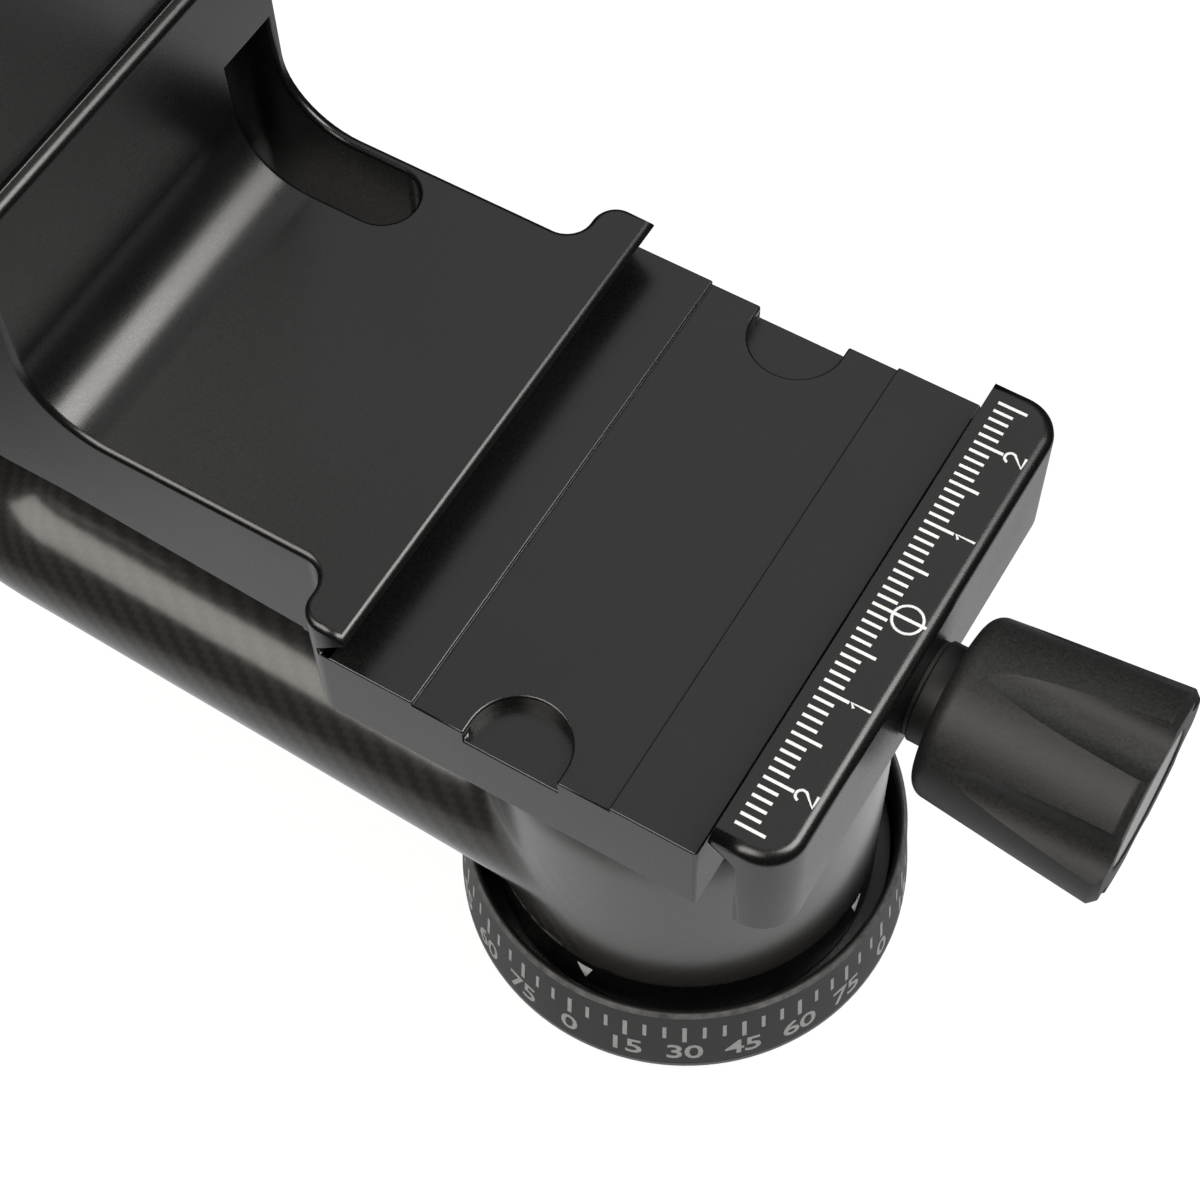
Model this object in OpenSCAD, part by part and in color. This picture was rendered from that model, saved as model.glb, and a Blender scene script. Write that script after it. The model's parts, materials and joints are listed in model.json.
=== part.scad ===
// Gimbal head for long lenses: a pan base with a graduated dial, a moulded carbon arm,
// a tilt hub and a swinging L-shaped cradle that ends in a dovetail clamp.
// Origin: centre of the tripod face. +Z is the pan axis, +X runs along the tilt axis to the clamp knob.

/* [Pan base] */
// How much wider the arm's round post is than the arm's upright, on each side
post_step = 2.6; // [0.4:0.1:5]
// Width of the open groove between the post and the dial ring
groove_w = 2.1; // [1.2:0.1:4]
// Width of the dial ring's top rim
dial_rim = 1.0; // [0.6:0.1:3]
// How much wider the dial ring is at its lower edge
dial_flare = 0.9; // [0.2:0.1:3]
// Height of the dial ring
dial_h = 11.6; // [9.5:0.1:18]
// Height of the foot under the dial flange
foot_h = 3.2; // [2.6:0.1:8]
// How far the foot is set in from the dial flange
foot_inset = 2.8; // [0.5:0.1:5]
// Height of the flange that carries the dial ring
flange_h = 1.4; // [1:0.1:4]
// Height of the base core inside the dial ring
core_h = 5.0; // [4:0.1:7]
// Radius of the tripod socket, three eighths of an inch across
socket_r = 4.7625; // [3:0.0125:5.2]
// Outer radius of the threaded bush in the base
bush_r = 7.6; // [6.5:0.1:8.2]

/* [Bearings and shafts] */
// Nominal radius of both shafts and of the bearing bores
shaft_r = 10; // [9:0.1:10.5]
// Outer radius of the ball bearings
bearing_r = 16; // [15:0.1:17]
// Width of the ball bearings
bearing_w = 7; // [5:0.1:9]
// Free length between the two pan bearings
bearing_gap = 11; // [9:0.1:20]
// Radial clearance of running fits
run_fit = 0.03; // [0.01:0.01:0.09]
// Radial clearance of seated, glued or screwed pieces
seat_fit = 0.05; // [0.02:0.01:0.1]
// Free gap between turning faces
face_gap = 0.5; // [0.3:0.1:1.5]
// Thickness of the shaft flanges
flange_t = 6; // [5:0.1:10]

/* [Arm] */
// Half width of the flat arm at the elbow and the upright
arm_half = 19.2; // [18.8:0.1:22]
// Thickness of the flat arm
arm_t = 20; // [16:0.5:24]
// Wall of the carbon shell
arm_wall = 2.4; // [1.5:0.1:2.8]
// Gap between the dial ring and the underside of the arm
dial_gap = 1.0; // [0.4:0.1:4]
// Free room in the post above the spindle
head_room = 6.9; // [3:0.1:14]
// Rounding at the top of the post
post_round = 9; // [4:0.5:12]
// Inner radius of the arm's elbow
elbow_in = 10; // [4:0.5:14]
// Gap between the arm's upright and the cradle's wall
upright_gap = 12; // [10:0.5:20]

/* [Tilt hub] */
// Radius of the tilt barrel
barrel_r = 26; // [24:0.1:32]
// Wall of the collar that holds the arm's upright
collar_wall = 3.4; // [2.4:0.1:5]
// Length of the upright inside the collar
collar_h = 13; // [8:0.5:20]
// Thickness of the barrel's end cap
cap_t = 7; // [6:0.1:10]
// Radius of the four-screw circle in the hub flange
hub_pitch_r = 14; // [12:0.1:15]
// Radius of the hub flange
hub_r = 20; // [19:0.1:21.5]

/* [Cradle] */
// Drop from the tilt axis to the top of the platform
drop = 72; // [60:1:110]
// Clearance between the arm and the swinging clamp
swing_gap = 5.05; // [1.5:0.05:10]
// Half width of the cradle's waist and wall
waist_half = 21.7; // [21.6:0.1:25]
// Half width of the clamp
clamp_half = 27.4; // [25.5:0.1:32]
// Height of the clamp body under its top plane
body_h = 16; // [15:0.1:22]
// Length from the fixed lip to the inside of the wall
reach = 38.8; // [36:0.1:60]
// Thickness of the wall
wall_t = 13.5; // [12:0.1:18]
// Depth of the step on the wall's inner face
wall_step = 1.5; // [0.5:0.1:3]
// Height of that step over the platform
step_z = 26; // [16:0.5:40]
// Inner fillet between platform and wall
fillet_r = 8; // [4:0.1:12]
// Outer rounding of the same corner
corner_r = 7; // [3:0.1:10]
// How much the platform thins out towards the wall
waist_rise = 2.8; // [0:0.1:4]
// Rounding of the clamp's shoulders in plan
shoulder_r = 2.6; // [1:0.1:2.8]
// Width of the strap slot
slot_w = 7.1; // [5:0.1:8]
// Length of the strap slot
slot_l = 24; // [16:0.5:26]
// Distance from the slot's middle to the side of the waist
slot_side = 4.9; // [4.6:0.1:8]
// Distance from the fixed lip to the slot
slot_x = 21.3; // [16:0.1:28]
// Height of the slot's pocket in the wall
slot_top = 14; // [9:0.5:20]

/* [Clamp] */
// Opening between the lip and the jaw at their top edges
opening = 37.4; // [36.5:0.1:42]
// Offset of the opening's middle from the pan axis
clamp_off = -1.2; // [-2:0.1:2]
// Depth of the clamp's floor
floor_d = 5.2; // [4.6:0.1:6]
// Depth of the shallow relief in the floor
relief_d = 0.5; // [0.2:0.1:1]
// Distance from the lip to the relief
relief_in = 6.75; // [5:0.05:9]
// Width of the relief
relief_w = 20.7; // [16:0.1:22]
// Undercut of the dovetail
undercut = 3.6; // [2.5:0.1:4]
// Upright land at the top of the dovetail
land = 0.8; // [0.4:0.1:1]
// Length of the lip on top of the clamp
lip_l = 5.5; // [5.2:0.1:8]
// Radius of the stop notches in the floor
notch_r = 4.9; // [3:0.1:6]
// Depth of the stop notches along the clamp
notch_l = 6.4; // [5.5:0.1:9]
// Depth of the stop notches below the floor
notch_d = 2.3; // [1.2:0.1:3]
// Thickness of the jaw at the top
jaw_t = 7.6; // [7:0.1:12]
// Height of the jaw
jaw_h = 15; // [14:0.1:16]
// Undercut of the jaw's dovetail
jaw_cut = 2.8; // [2:0.1:3.4]
// How far the jaw reaches over the end of the clamp body
jaw_over = 1.05; // [0.5:0.05:1.5]
// Rounding of the jaw's outer corners in plan
jaw_round = 4; // [1:0.1:6]
// Depth of the clamp screw's axis below the top plane
screw_d = 10.2; // [9.4:0.1:10.6]
// Radius of the clamp screw
screw_r = 3; // [2:0.1:3.2]
// Length of the clamp screw inside the clamp body
screw_in = 18; // [10:0.5:22]
// Radius of the jaw's guide pins
pin_r = 2; // [1.5:0.1:2.4]
// Distance from the guide pins to the middle of the jaw
pin_y = 18; // [12:0.5:22]
// Free depth of the bores behind the screw and the pins
bore_spare = 5; // [4:0.5:8]

/* [Knobs] */
// Radius of the small knobs at their inner end
knob_in_r = 9.2; // [8:0.1:10.2]
// Radius of the small knobs at their outer end
knob_out_r = 11; // [10.6:0.1:13]
// Length of the small knobs
knob_l = 19.9; // [14:0.1:26]
// Size of the tilt knob against the small knobs
tilt_knob_k = 1.5; // [1.2:0.05:1.8]
// Radius of the knob's neck
neck_r = 5.1; // [4.6:0.1:6]
// Length of the knob's neck
neck_l = 2.2; // [1:0.1:4]
// Number of finger flutes
flutes = 6; // [4:1:7]
// Turn of the first flute about the knob's axis
flute_turn = 5.5; // [0:0.5:60]
// Radius of the cutter that makes the flutes
flute_r = 5; // [3.5:0.1:6]
// Share of the knob's length before the flutes start
flute_start = 0.18; // [0.1:0.02:0.5]
// Rounding of the knob's inner edge
knob_round = 1.8; // [0.8:0.1:2.4]
// Chamfer of the knob's outer edge
knob_chamfer = 1.4; // [0.6:0.1:1.8]
// Radius of the lighter disc in the knob's end
disc_r = 7.1; // [5:0.1:7.4]

/* [Hidden] */
$fn = 72;
// Oversize of cutters past a face
over = 1;
// Gap in which the brake pieces rest before they touch
brake_gap = 0.3;
// Axial play under the nuts
play = 0.15;
// Fasteners: shank, head and head height of the small screws
small_r = 1.5;
small_head_r = 2.75;
small_head_h = 3;
// Fasteners: shank, head and head height of the hub screws
hub_screw_r = 2.5;
hub_head_r = 4.25;
hub_head_h = 5;
// Width of a hex recess and its depth as shares of the head
hex_share = 0.55;
// How far a screw head lies below its face, and how far a screw stops short of its hole's end
head_sink = 0.2;
end_short = 0.4;
// Depth of the small screws' thread in the barrel
thread_l = 6;
// Step from a shaft to its shoulder, to its thread and to its nut's corners
shoulder_w = 2;
nut_w = 2.5;
// Share of a bearing's width in section that each of its rings takes, and the depth of its seals
race_share = 0.28;
seal_d = 0.4;
// How far the rib between two bearings reaches inside their outer rings
rib_w = 1.5;
// Broken edges of the dial ring
dial_edge = 0.4;
// Wall between a knob's stem and its neck
stem_w = 1;
// Thickness of the disc in a small knob and how far it lies below the knob's end
disc_t = 1.2;
disc_sink = 0.2;
// Cover over the guide pins at the jaw's outer face
pin_cover = 1.5;
// Free play of the clamp screw in the jaw
screw_play = 0.3;
// Step from the clamp screw's neck to its washer
washer_step = 0.3;
// Step from a lock screw to its brake shoe, and the room behind the brake pieces
shoe_step = 0.5;
brake_room = 1;

// Radii of the base, from the post outwards
post_r = arm_half + post_step;
dial_bore_r = post_r + groove_w;
dial_top_r = dial_bore_r + dial_rim;
dial_low_r = dial_top_r + dial_flare;
core_r = dial_bore_r - seat_fit;
foot_r = dial_low_r - foot_inset;
sleeve_r = post_r - arm_wall - seat_fit;
journal_r = shaft_r - run_fit;
race_r = bearing_r + seat_fit;
rib_r = bearing_r - rib_w;
thread_r = shaft_r - shoulder_w;
nut_r = shaft_r + nut_w;

// Heights of the base, from the tripod face up
dial_z = foot_h + flange_h;
dial_top = dial_z + dial_h;
core_top = dial_z + core_h;
skirt_z = core_top + face_gap;
arm_z = dial_top + dial_gap;
arm_mid = arm_z + arm_t / 2;
spindle_flange_h = 3;
shoulder_h = 0.5;
low_race_z = core_top + spindle_flange_h + shoulder_h;
top_race_z = low_race_z + bearing_w + bearing_gap;
washer_h = 1.2;
nut_h = 4.5;
washer_z = top_race_z + bearing_w + play;
nut_z = washer_z + washer_h;
spindle_top = nut_z + nut_h + shoulder_h;
post_top = spindle_top + head_room + arm_wall;
sleeve_top = top_race_z + bearing_w;
lock_z = low_race_z + bearing_w + bearing_gap / 2;
spindle_flange_r = shaft_r + spindle_flange_h;
base_pitch_r = bush_r + small_head_r + 3 * seat_fit;

// Places along the clamp
lip_x = clamp_off - opening / 2;
jaw_x = clamp_off + opening / 2;
body_end = jaw_x - jaw_over;
body_start = lip_x - lip_l;
root_x = lip_x - undercut;
wall_in = lip_x - reach;
wall_out = wall_in - wall_t;
jaw_out = jaw_x + jaw_t;
slot_y = waist_half - slot_side;
notch_x = lip_x + relief_in + relief_w / 2;

// Heights of the cradle: the tilt axis is set so that the clamp swings clear of the arm
swing_r = sqrt(pow(drop + body_h, 2) + pow(clamp_half, 2));
tilt_z = max(arm_z + arm_t, post_top) + swing_gap + swing_r;
top_z = tilt_z - drop;
floor_z = top_z - floor_d;
body_z = top_z - body_h;
screw_z = top_z - screw_d;

// Places along the tilt axis, outwards from the barrel's inner face
elbow_r = arm_t / 2 + elbow_in;
upright_x = wall_out - upright_gap - arm_t / 2;
ring_x = upright_x + elbow_r;
barrel_in = wall_out - flange_t - face_gap;
barrel_l = 2 * (barrel_in - upright_x);
collar_top = tilt_z - bearing_r - collar_wall;
upright_top = collar_top - seat_fit;
collar_z = upright_top - collar_h;
race_in = 1;
cap_room = 6;
outer_race = barrel_l - cap_room - bearing_w;
tilt_nut_h = 3.2;
tilt_nut_z = outer_race + bearing_w + play;
shaft_end = tilt_nut_z + tilt_nut_h + shoulder_h;
pad_z = shaft_end + brake_gap;
pad_t = 3;
pad_r = thread_r + stem_w;
pad_end = pad_z + pad_t;
cap_pitch_r = (race_r + barrel_r) / 2;
tilt_knob_z = barrel_l + cap_t + face_gap;

// Places along the pan lock, outwards from the pan axis
shoe_r = screw_r + shoe_step;
shoe_start = journal_r + brake_gap;
shoe_end = (rib_r + sleeve_r) / 2;
lock_out = post_r + face_gap;

// Places along the clamp screw, outwards from the jaw
clamp_washer_r = neck_r - washer_step;
clamp_washer_h = 0.5;

// A plain disc or drum from one height to another
module drum(r, low, high) {
  translate([0, 0, low]) cylinder(r = r, h = high - low);
}

// A ring with a bore, from one height to another
module ring(r, bore, low, high) {
  difference() {
    drum(r, low, high);
    drum(bore, low - over, high + over);
  }
}

// Copies on a circle
module around(count, r, start = 0) {
  for (i = [0 : count - 1])
    rotate([0, 0, start + i * 360 / count]) translate([r, 0, 0]) children();
}

// The tilt axis: local +Z runs outwards from the barrel's inner face
module on_tilt() {
  translate([barrel_in, 0, tilt_z]) rotate([0, -90, 0]) children();
}

// The pan lock axis: local +Z runs outwards from the pan axis to the far side
module on_pan_lock() {
  translate([0, 0, lock_z]) rotate([-90, 0, 0]) children();
}

// The clamp screw axis: local +Z runs outwards from the jaw's outer face
module on_clamp() {
  translate([jaw_out, 0, screw_z]) rotate([0, 90, 0]) children();
}

// A cap screw whose head sits on z = 0 and whose shank points down
module cap_screw(r, head_r, head_h, length) {
  difference() {
    union() {
      drum(head_r, 0, head_h);
      drum(r, -length, head_h / 2);
    }
    translate([0, 0, head_h * (1 - hex_share)]) cylinder(r = head_r * hex_share, h = head_h, $fn = 6);
  }
}

// A sealed ball bearing standing on z = 0
module bearing() {
  race = (bearing_r - shaft_r) * race_share;
  difference() {
    ring(bearing_r, shaft_r, 0, bearing_w);
    for (z = [-over, bearing_w - seal_d])
      ring(bearing_r - race, shaft_r + race, z, z + over + seal_d);
  }
}

// Outline of a knob, turned about its axis, standing on z = 0
module knob_outline(inner, outer, length) {
  bulge = inner - knob_round;
  polygon([[0, 0], [bulge, 0], [inner, knob_round], [outer, length - knob_chamfer],
    [outer - knob_chamfer, length], [0, length]]);
  intersection() {
    translate([bulge, knob_round]) circle(r = knob_round);
    square([inner, knob_round]);
  }
}

// A fluted knob on z = 0: straight cutters meet its cone, so the flutes start as points and widen outwards
module fluted_knob(k) {
  inner = knob_in_r * k;
  outer = knob_out_r * k;
  length = knob_l * k;
  flute_floor = inner + (outer - inner) * flute_start;
  difference() {
    rotate_extrude() knob_outline(inner, outer, length);
    around(flutes, flute_floor + flute_r * k, flute_turn) drum(flute_r * k, 0, length + over);
    drum(neck_r - stem_w, -over, length - disc_t * k);
    drum(disc_r * k + seat_fit, length - disc_t * k, length + over);
  }
}

// The lighter disc in a knob's outer end
module knob_disc(k) {
  drum(disc_r * k, (knob_l - disc_t) * k, knob_l * k - disc_sink);
}

// A knob's threaded stem: from the tip through the neck into the knob
module knob_stem(tip, start, k) {
  drum(screw_r, tip, start);
  drum(neck_r, start - neck_l, start);
  drum(neck_r - stem_w - seat_fit, start, start + (knob_l - disc_t) * k);
}

module base_plate() {
  color("#2a2a2c") difference() {
    union() {
      drum(foot_r, 0, foot_h);
      drum(dial_low_r, foot_h, dial_z);
      drum(core_r, dial_z, core_top);
    }
    drum(bush_r + seat_fit, -over, core_top + over);
    around(4, base_pitch_r, 45) {
      drum(small_r + seat_fit, -over, core_top + over);
      drum(small_head_r + seat_fit, -over, small_head_h);
    }
  }
}

module dial_ring() {
  color("#3a3a3c") rotate_extrude() polygon([[dial_bore_r, dial_z], [dial_low_r, dial_z],
    [dial_low_r, dial_z + dial_edge], [dial_top_r, dial_top - dial_edge], [dial_top_r - dial_edge, dial_top],
    [dial_bore_r + dial_edge, dial_top], [dial_bore_r, dial_top - dial_edge]]);
}

module tripod_bush() {
  color("#b8b4a8") ring(bush_r, socket_r, 0, core_top);
}

module pan_spindle() {
  color("#c4c4c6") difference() {
    union() {
      drum(spindle_flange_r, core_top, core_top + spindle_flange_h);
      drum(shaft_r + shoulder_w, core_top, low_race_z);
      drum(journal_r, core_top, nut_z);
      drum(thread_r, core_top, spindle_top);
    }
    around(4, base_pitch_r, 45)
      drum(small_r + seat_fit, core_top - over, core_top + spindle_flange_h - end_short / 2);
  }
}

module base_screws() {
  color("#8a8a8c") around(4, base_pitch_r, 45) translate([0, 0, small_head_h]) mirror([0, 0, 1])
    cap_screw(small_r, small_head_r, small_head_h - head_sink,
      core_top + spindle_flange_h - small_head_h - end_short);
}

module spindle_washer() {
  color("#a0a0a2") ring(spindle_flange_r, journal_r + seat_fit, washer_z, nut_z);
}

module spindle_nut() {
  color("#a8a8aa") difference() {
    translate([0, 0, nut_z]) cylinder(r = nut_r, h = nut_h, $fn = 6);
    drum(thread_r + seat_fit, nut_z - over, nut_z + nut_h + over);
  }
}

module pan_housing() {
  color("#262628") difference() {
    union() {
      drum(post_r, skirt_z, arm_z);
      drum(sleeve_r, arm_z, sleeve_top);
    }
    drum(race_r, skirt_z - over, low_race_z + bearing_w);
    drum(rib_r, skirt_z, sleeve_top);
    drum(race_r, top_race_z, sleeve_top + over);
    on_pan_lock() {
      drum(shoe_r + run_fit, 0, shoe_end + brake_room);
      drum(screw_r + seat_fit, 0, sleeve_r + over);
    }
  }
}

module lower_pan_bearing() {
  color("#b0b0b4") translate([0, 0, low_race_z]) bearing();
}

module upper_pan_bearing() {
  color("#b0b0b4") translate([0, 0, top_race_z]) bearing();
}

// The post's round body, with a rounded top edge, drawn smaller by the wall inside
module post_body(inset) {
  r = post_r - inset;
  low = arm_z + inset;
  top = post_top - inset;
  round = post_round - inset / 2;
  rotate_extrude($fn = 64) {
    translate([0, low]) square([r, top - round - low]);
    translate([0, low]) square([r - round, top - low]);
    translate([r - round, top - round]) intersection() {
      circle(r = round, $fn = 48);
      square(round);
    }
  }
}

// Section of the arm: a flat bar with half-round sides, drawn smaller by the inset
module arm_section(half, inset) {
  side_r = arm_t / 2;
  flat = half - side_r;
  square([2 * (side_r - inset), 2 * flat], center = true);
  for (side = [-1, 1]) translate([0, side * flat]) circle(r = side_r - inset, $fn = 64);
}

// The arm's lower run: the round post and a flat bar that narrows towards the elbow
module lower_run(inset) {
  rim = 0.5;
  root_half = post_r - rim;
  post_body(inset);
  hull()
    for (place = [[0, root_half], [ring_x, arm_half]])
      translate([place[0], 0, arm_mid]) rotate([0, 90, 0]) linear_extrude(rim) arm_section(place[1], inset);
}

// The elbow and the upright above it
module upright(inset, high) {
  elbow_z = arm_mid + elbow_r;
  translate([ring_x, 0, elbow_z]) rotate([90, 0, 0])
    rotate_extrude(angle = 90, start = 180) translate([elbow_r, 0]) arm_section(arm_half, inset);
  translate([upright_x, 0, elbow_z]) linear_extrude(high - elbow_z) arm_section(arm_half, inset);
}

module arm_shell() {
  color("#3c3b39") difference() {
    union() {
      lower_run(0);
      upright(0, upright_top);
    }
    lower_run(arm_wall);
    drum(post_r - arm_wall, arm_z - over, arm_z + 2 * arm_wall);
    upright(arm_wall, upright_top + over);
    on_pan_lock() drum(neck_r + face_gap, 0, post_r + over);
  }
}

module tilt_housing() {
  color("#232325") difference() {
    union() {
      on_tilt() drum(barrel_r, 0, barrel_l);
      translate([upright_x, 0, collar_z]) linear_extrude(tilt_z - collar_z)
        arm_section(arm_half, -seat_fit - collar_wall);
    }
    translate([upright_x, 0, collar_z - over]) linear_extrude(collar_top - collar_z + over)
      arm_section(arm_half, -seat_fit);
    on_tilt() {
      drum(rib_r, -over, barrel_l + over);
      drum(race_r, -over, race_in + bearing_w);
      drum(race_r, outer_race, barrel_l + over);
      around(3, cap_pitch_r) drum(small_r + seat_fit, barrel_l - thread_l, barrel_l + over);
    }
  }
}

module inner_tilt_bearing() {
  color("#b0b0b4") on_tilt() translate([0, 0, race_in]) bearing();
}

module outer_tilt_bearing() {
  color("#b0b0b4") on_tilt() translate([0, 0, outer_race]) bearing();
}

module end_cap() {
  color("#242426") on_tilt() difference() {
    drum(barrel_r, barrel_l, barrel_l + cap_t);
    drum(pad_r + brake_gap, barrel_l - over, pad_end + brake_room);
    drum(screw_r + seat_fit, barrel_l, barrel_l + cap_t + over);
    around(3, cap_pitch_r) {
      drum(small_r + seat_fit, barrel_l - over, barrel_l + cap_t + over);
      drum(small_head_r + seat_fit, barrel_l + cap_t - small_head_h, barrel_l + cap_t + over);
    }
  }
}

module end_cap_screws() {
  color("#8a8a8c") on_tilt() around(3, cap_pitch_r) translate([0, 0, barrel_l + cap_t - small_head_h])
    cap_screw(small_r, small_head_r, small_head_h - head_sink, cap_t - small_head_h + thread_l - end_short);
}

module pan_brake_shoe() {
  color("#b08d3c") on_pan_lock() drum(shoe_r, shoe_start, shoe_end);
}

module pan_lock_knob() {
  color("#2b2b2d") on_pan_lock() translate([0, 0, lock_out + neck_l]) fluted_knob(1);
}

module pan_lock_screw() {
  color("#9a9a9c") on_pan_lock() knob_stem(shoe_end, lock_out + neck_l, 1);
}

module pan_knob_disc() {
  color("#6a6a6c") on_pan_lock() translate([0, 0, lock_out + neck_l]) knob_disc(1);
}

module tilt_brake_pad() {
  color("#b08d3c") on_tilt() drum(pad_r, pad_z, pad_end);
}

module tilt_lock_knob() {
  color("#2b2b2d") on_tilt() translate([0, 0, tilt_knob_z + neck_l]) fluted_knob(tilt_knob_k);
}

module tilt_lock_screw() {
  color("#9a9a9c") on_tilt() knob_stem(pad_end, tilt_knob_z + neck_l, tilt_knob_k);
}

module tilt_knob_disc() {
  color("#6a6a6c") on_tilt() translate([0, 0, tilt_knob_z + neck_l]) knob_disc(tilt_knob_k);
}

module tilt_shaft() {
  color("#c4c4c6") on_tilt() difference() {
    union() {
      drum(hub_r, -face_gap - flange_t, -face_gap);
      drum(shaft_r + shoulder_w, -face_gap, race_in - play);
      drum(journal_r, -face_gap, tilt_nut_z);
      drum(thread_r, 0, shaft_end);
    }
    around(4, hub_pitch_r, 45) drum(hub_screw_r + seat_fit, -face_gap - flange_t - over, -face_gap + over);
  }
}

module tilt_nut() {
  color("#a8a8aa") on_tilt() difference() {
    translate([0, 0, tilt_nut_z]) cylinder(r = nut_r, h = tilt_nut_h, $fn = 6);
    drum(thread_r + seat_fit, tilt_nut_z - over, tilt_nut_z + tilt_nut_h + over);
  }
}

// Plan of the platform: a narrow waist that steps out to the clamp body with rounded shoulders
module platform_plan() {
  step = clamp_half - waist_half;
  translate([body_start + shoulder_r, -clamp_half]) square([body_end - body_start - shoulder_r, 2 * clamp_half]);
  translate([body_start, -clamp_half + shoulder_r])
    square([2 * shoulder_r, 2 * (clamp_half - shoulder_r)]);
  translate([body_start - 2 * shoulder_r, -waist_half]) square([4 * shoulder_r, 2 * waist_half]);
  for (side = [-1, 1]) {
    translate([body_start + shoulder_r, side * (clamp_half - shoulder_r)]) circle(r = shoulder_r);
    if (step > shoulder_r)
      difference() {
        translate([body_start - shoulder_r, side > 0 ? waist_half - over : -waist_half - shoulder_r])
          square([shoulder_r + over, shoulder_r + over]);
        translate([body_start - shoulder_r, side * (waist_half + shoulder_r)]) circle(r = shoulder_r);
      }
  }
}

// Side view of the waist, the filleted corner and the wall
module side_profile() {
  thin_z = body_z + waist_rise;
  difference() {
    union() {
      polygon([[body_start, top_z], [wall_out, top_z], [wall_out, thin_z], [wall_in, thin_z], [body_start, body_z]]);
      translate([wall_out, thin_z]) square([wall_t, top_z + step_z - thin_z]);
      translate([wall_out, top_z]) square([wall_t - wall_step, drop + waist_half]);
      difference() {
        translate([wall_in - over, top_z - over]) square(fillet_r + over);
        translate([wall_in + fillet_r, top_z + fillet_r]) circle(r = fillet_r);
      }
    }
    difference() {
      translate([wall_out - over, thin_z - over]) square(corner_r + over);
      translate([wall_out + corner_r, thin_z + corner_r]) circle(r = corner_r);
    }
  }
}

// Front view of the wall: straight sides under a round head at the tilt axis
module wall_front() {
  translate([-waist_half, 0]) square([2 * waist_half, tilt_z]);
  translate([0, tilt_z]) circle(r = waist_half);
}

// Dovetail channel between the fixed lip and the open end of the clamp
module channel() {
  rotate([90, 0, 0]) linear_extrude(2 * (clamp_half + over), center = true)
    polygon([[root_x, floor_z], [body_end + over, floor_z], [body_end + over, top_z + over], [lip_x, top_z + over],
      [lip_x, top_z - land], [root_x, floor_z + land]]);
}

// The shallow relief along the floor, which leaves two strips that carry the plate
module floor_relief() {
  translate([lip_x + relief_in, -clamp_half - over, floor_z - relief_d])
    cube([relief_w, 2 * (clamp_half + over), relief_d + over]);
}

// Stop notches: recesses with a round end at both ends of the clamp
module notches() {
  for (side = [0, 1]) mirror([0, side, 0]) translate([notch_x, 0, floor_z - notch_d])
    linear_extrude(notch_d + over) {
      translate([0, clamp_half - notch_l + notch_r]) circle(r = notch_r);
      translate([-notch_r, clamp_half - notch_l + notch_r]) square([2 * notch_r, notch_l]);
    }
}

// Strap slot through the platform and into the foot of the wall
module strap_slot() {
  r = slot_w / 2;
  translate([lip_x - slot_x - r, slot_y, body_z - over]) linear_extrude(body_h + slot_top + over) {
    circle(r = r);
    translate([slot_w - slot_l, 0]) circle(r = r);
    translate([slot_w - slot_l, -r]) square([slot_l - slot_w, slot_w]);
  }
}

module cradle() {
  color("#1f1f21") difference() {
    union() {
      translate([0, 0, body_z]) linear_extrude(body_h) platform_plan();
      intersection() {
        rotate([90, 0, 0]) linear_extrude(2 * waist_half, center = true) side_profile();
        translate([wall_out - over, 0, 0]) rotate([90, 0, 90])
          linear_extrude(body_start - wall_out + over) wall_front();
      }
    }
    channel();
    floor_relief();
    notches();
    strap_slot();
    on_clamp() drum(screw_r + seat_fit, body_end - jaw_out - screw_in - bore_spare, body_end - jaw_out + over);
    for (side = [-1, 1]) on_clamp() translate([0, side * pin_y, 0])
      drum(pin_r + run_fit, body_end - jaw_out - screw_in - bore_spare, body_end - jaw_out + over);
    on_tilt() around(4, hub_pitch_r, 45) {
      drum(hub_screw_r + seat_fit, -face_gap - flange_t - wall_t - over, -face_gap - flange_t + over);
      drum(hub_head_r + seat_fit, -face_gap - flange_t - wall_t - over,
        -face_gap - flange_t - wall_t + wall_step + hub_head_h);
    }
  }
}

module hub_screws() {
  color("#8a8a8c") on_tilt() around(4, hub_pitch_r, 45)
    translate([0, 0, -face_gap - flange_t - wall_t + wall_step + hub_head_h]) mirror([0, 0, 1])
      cap_screw(hub_screw_r, hub_head_r, hub_head_h - head_sink,
        wall_t - wall_step - hub_head_h + flange_t - end_short);
}

// Section of the moving jaw: an overhanging dovetail on a straight shank
module jaw_section() {
  polygon([[jaw_x, top_z], [jaw_out, top_z], [jaw_out, top_z - jaw_h], [jaw_x + jaw_cut, top_z - jaw_h],
    [jaw_x + jaw_cut, top_z - land - jaw_cut], [jaw_x, top_z - land]]);
}

// Plan of the moving jaw with rounded outer corners
module jaw_plan() {
  translate([jaw_x, -clamp_half]) square([jaw_t - jaw_round, 2 * clamp_half]);
  translate([jaw_x, jaw_round - clamp_half]) square([jaw_t, 2 * (clamp_half - jaw_round)]);
  for (side = [-1, 1]) translate([jaw_out - jaw_round, side * (clamp_half - jaw_round)]) circle(r = jaw_round);
}

module jaw() {
  color("#1f1f21") difference() {
    intersection() {
      rotate([90, 0, 0]) linear_extrude(2 * clamp_half, center = true) jaw_section();
      translate([0, 0, top_z - jaw_h]) linear_extrude(jaw_h) jaw_plan();
    }
    on_clamp() drum(screw_r + screw_play, -jaw_t - over, over);
    for (side = [-1, 1]) on_clamp() translate([0, side * pin_y, 0])
      drum(pin_r + seat_fit, -jaw_t - over, -pin_cover);
  }
}

module guide_pins() {
  color("#c0c0c2") for (side = [-1, 1]) on_clamp() translate([0, side * pin_y, 0])
    drum(pin_r, body_end - jaw_out - screw_in, -pin_cover - seat_fit);
}

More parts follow.
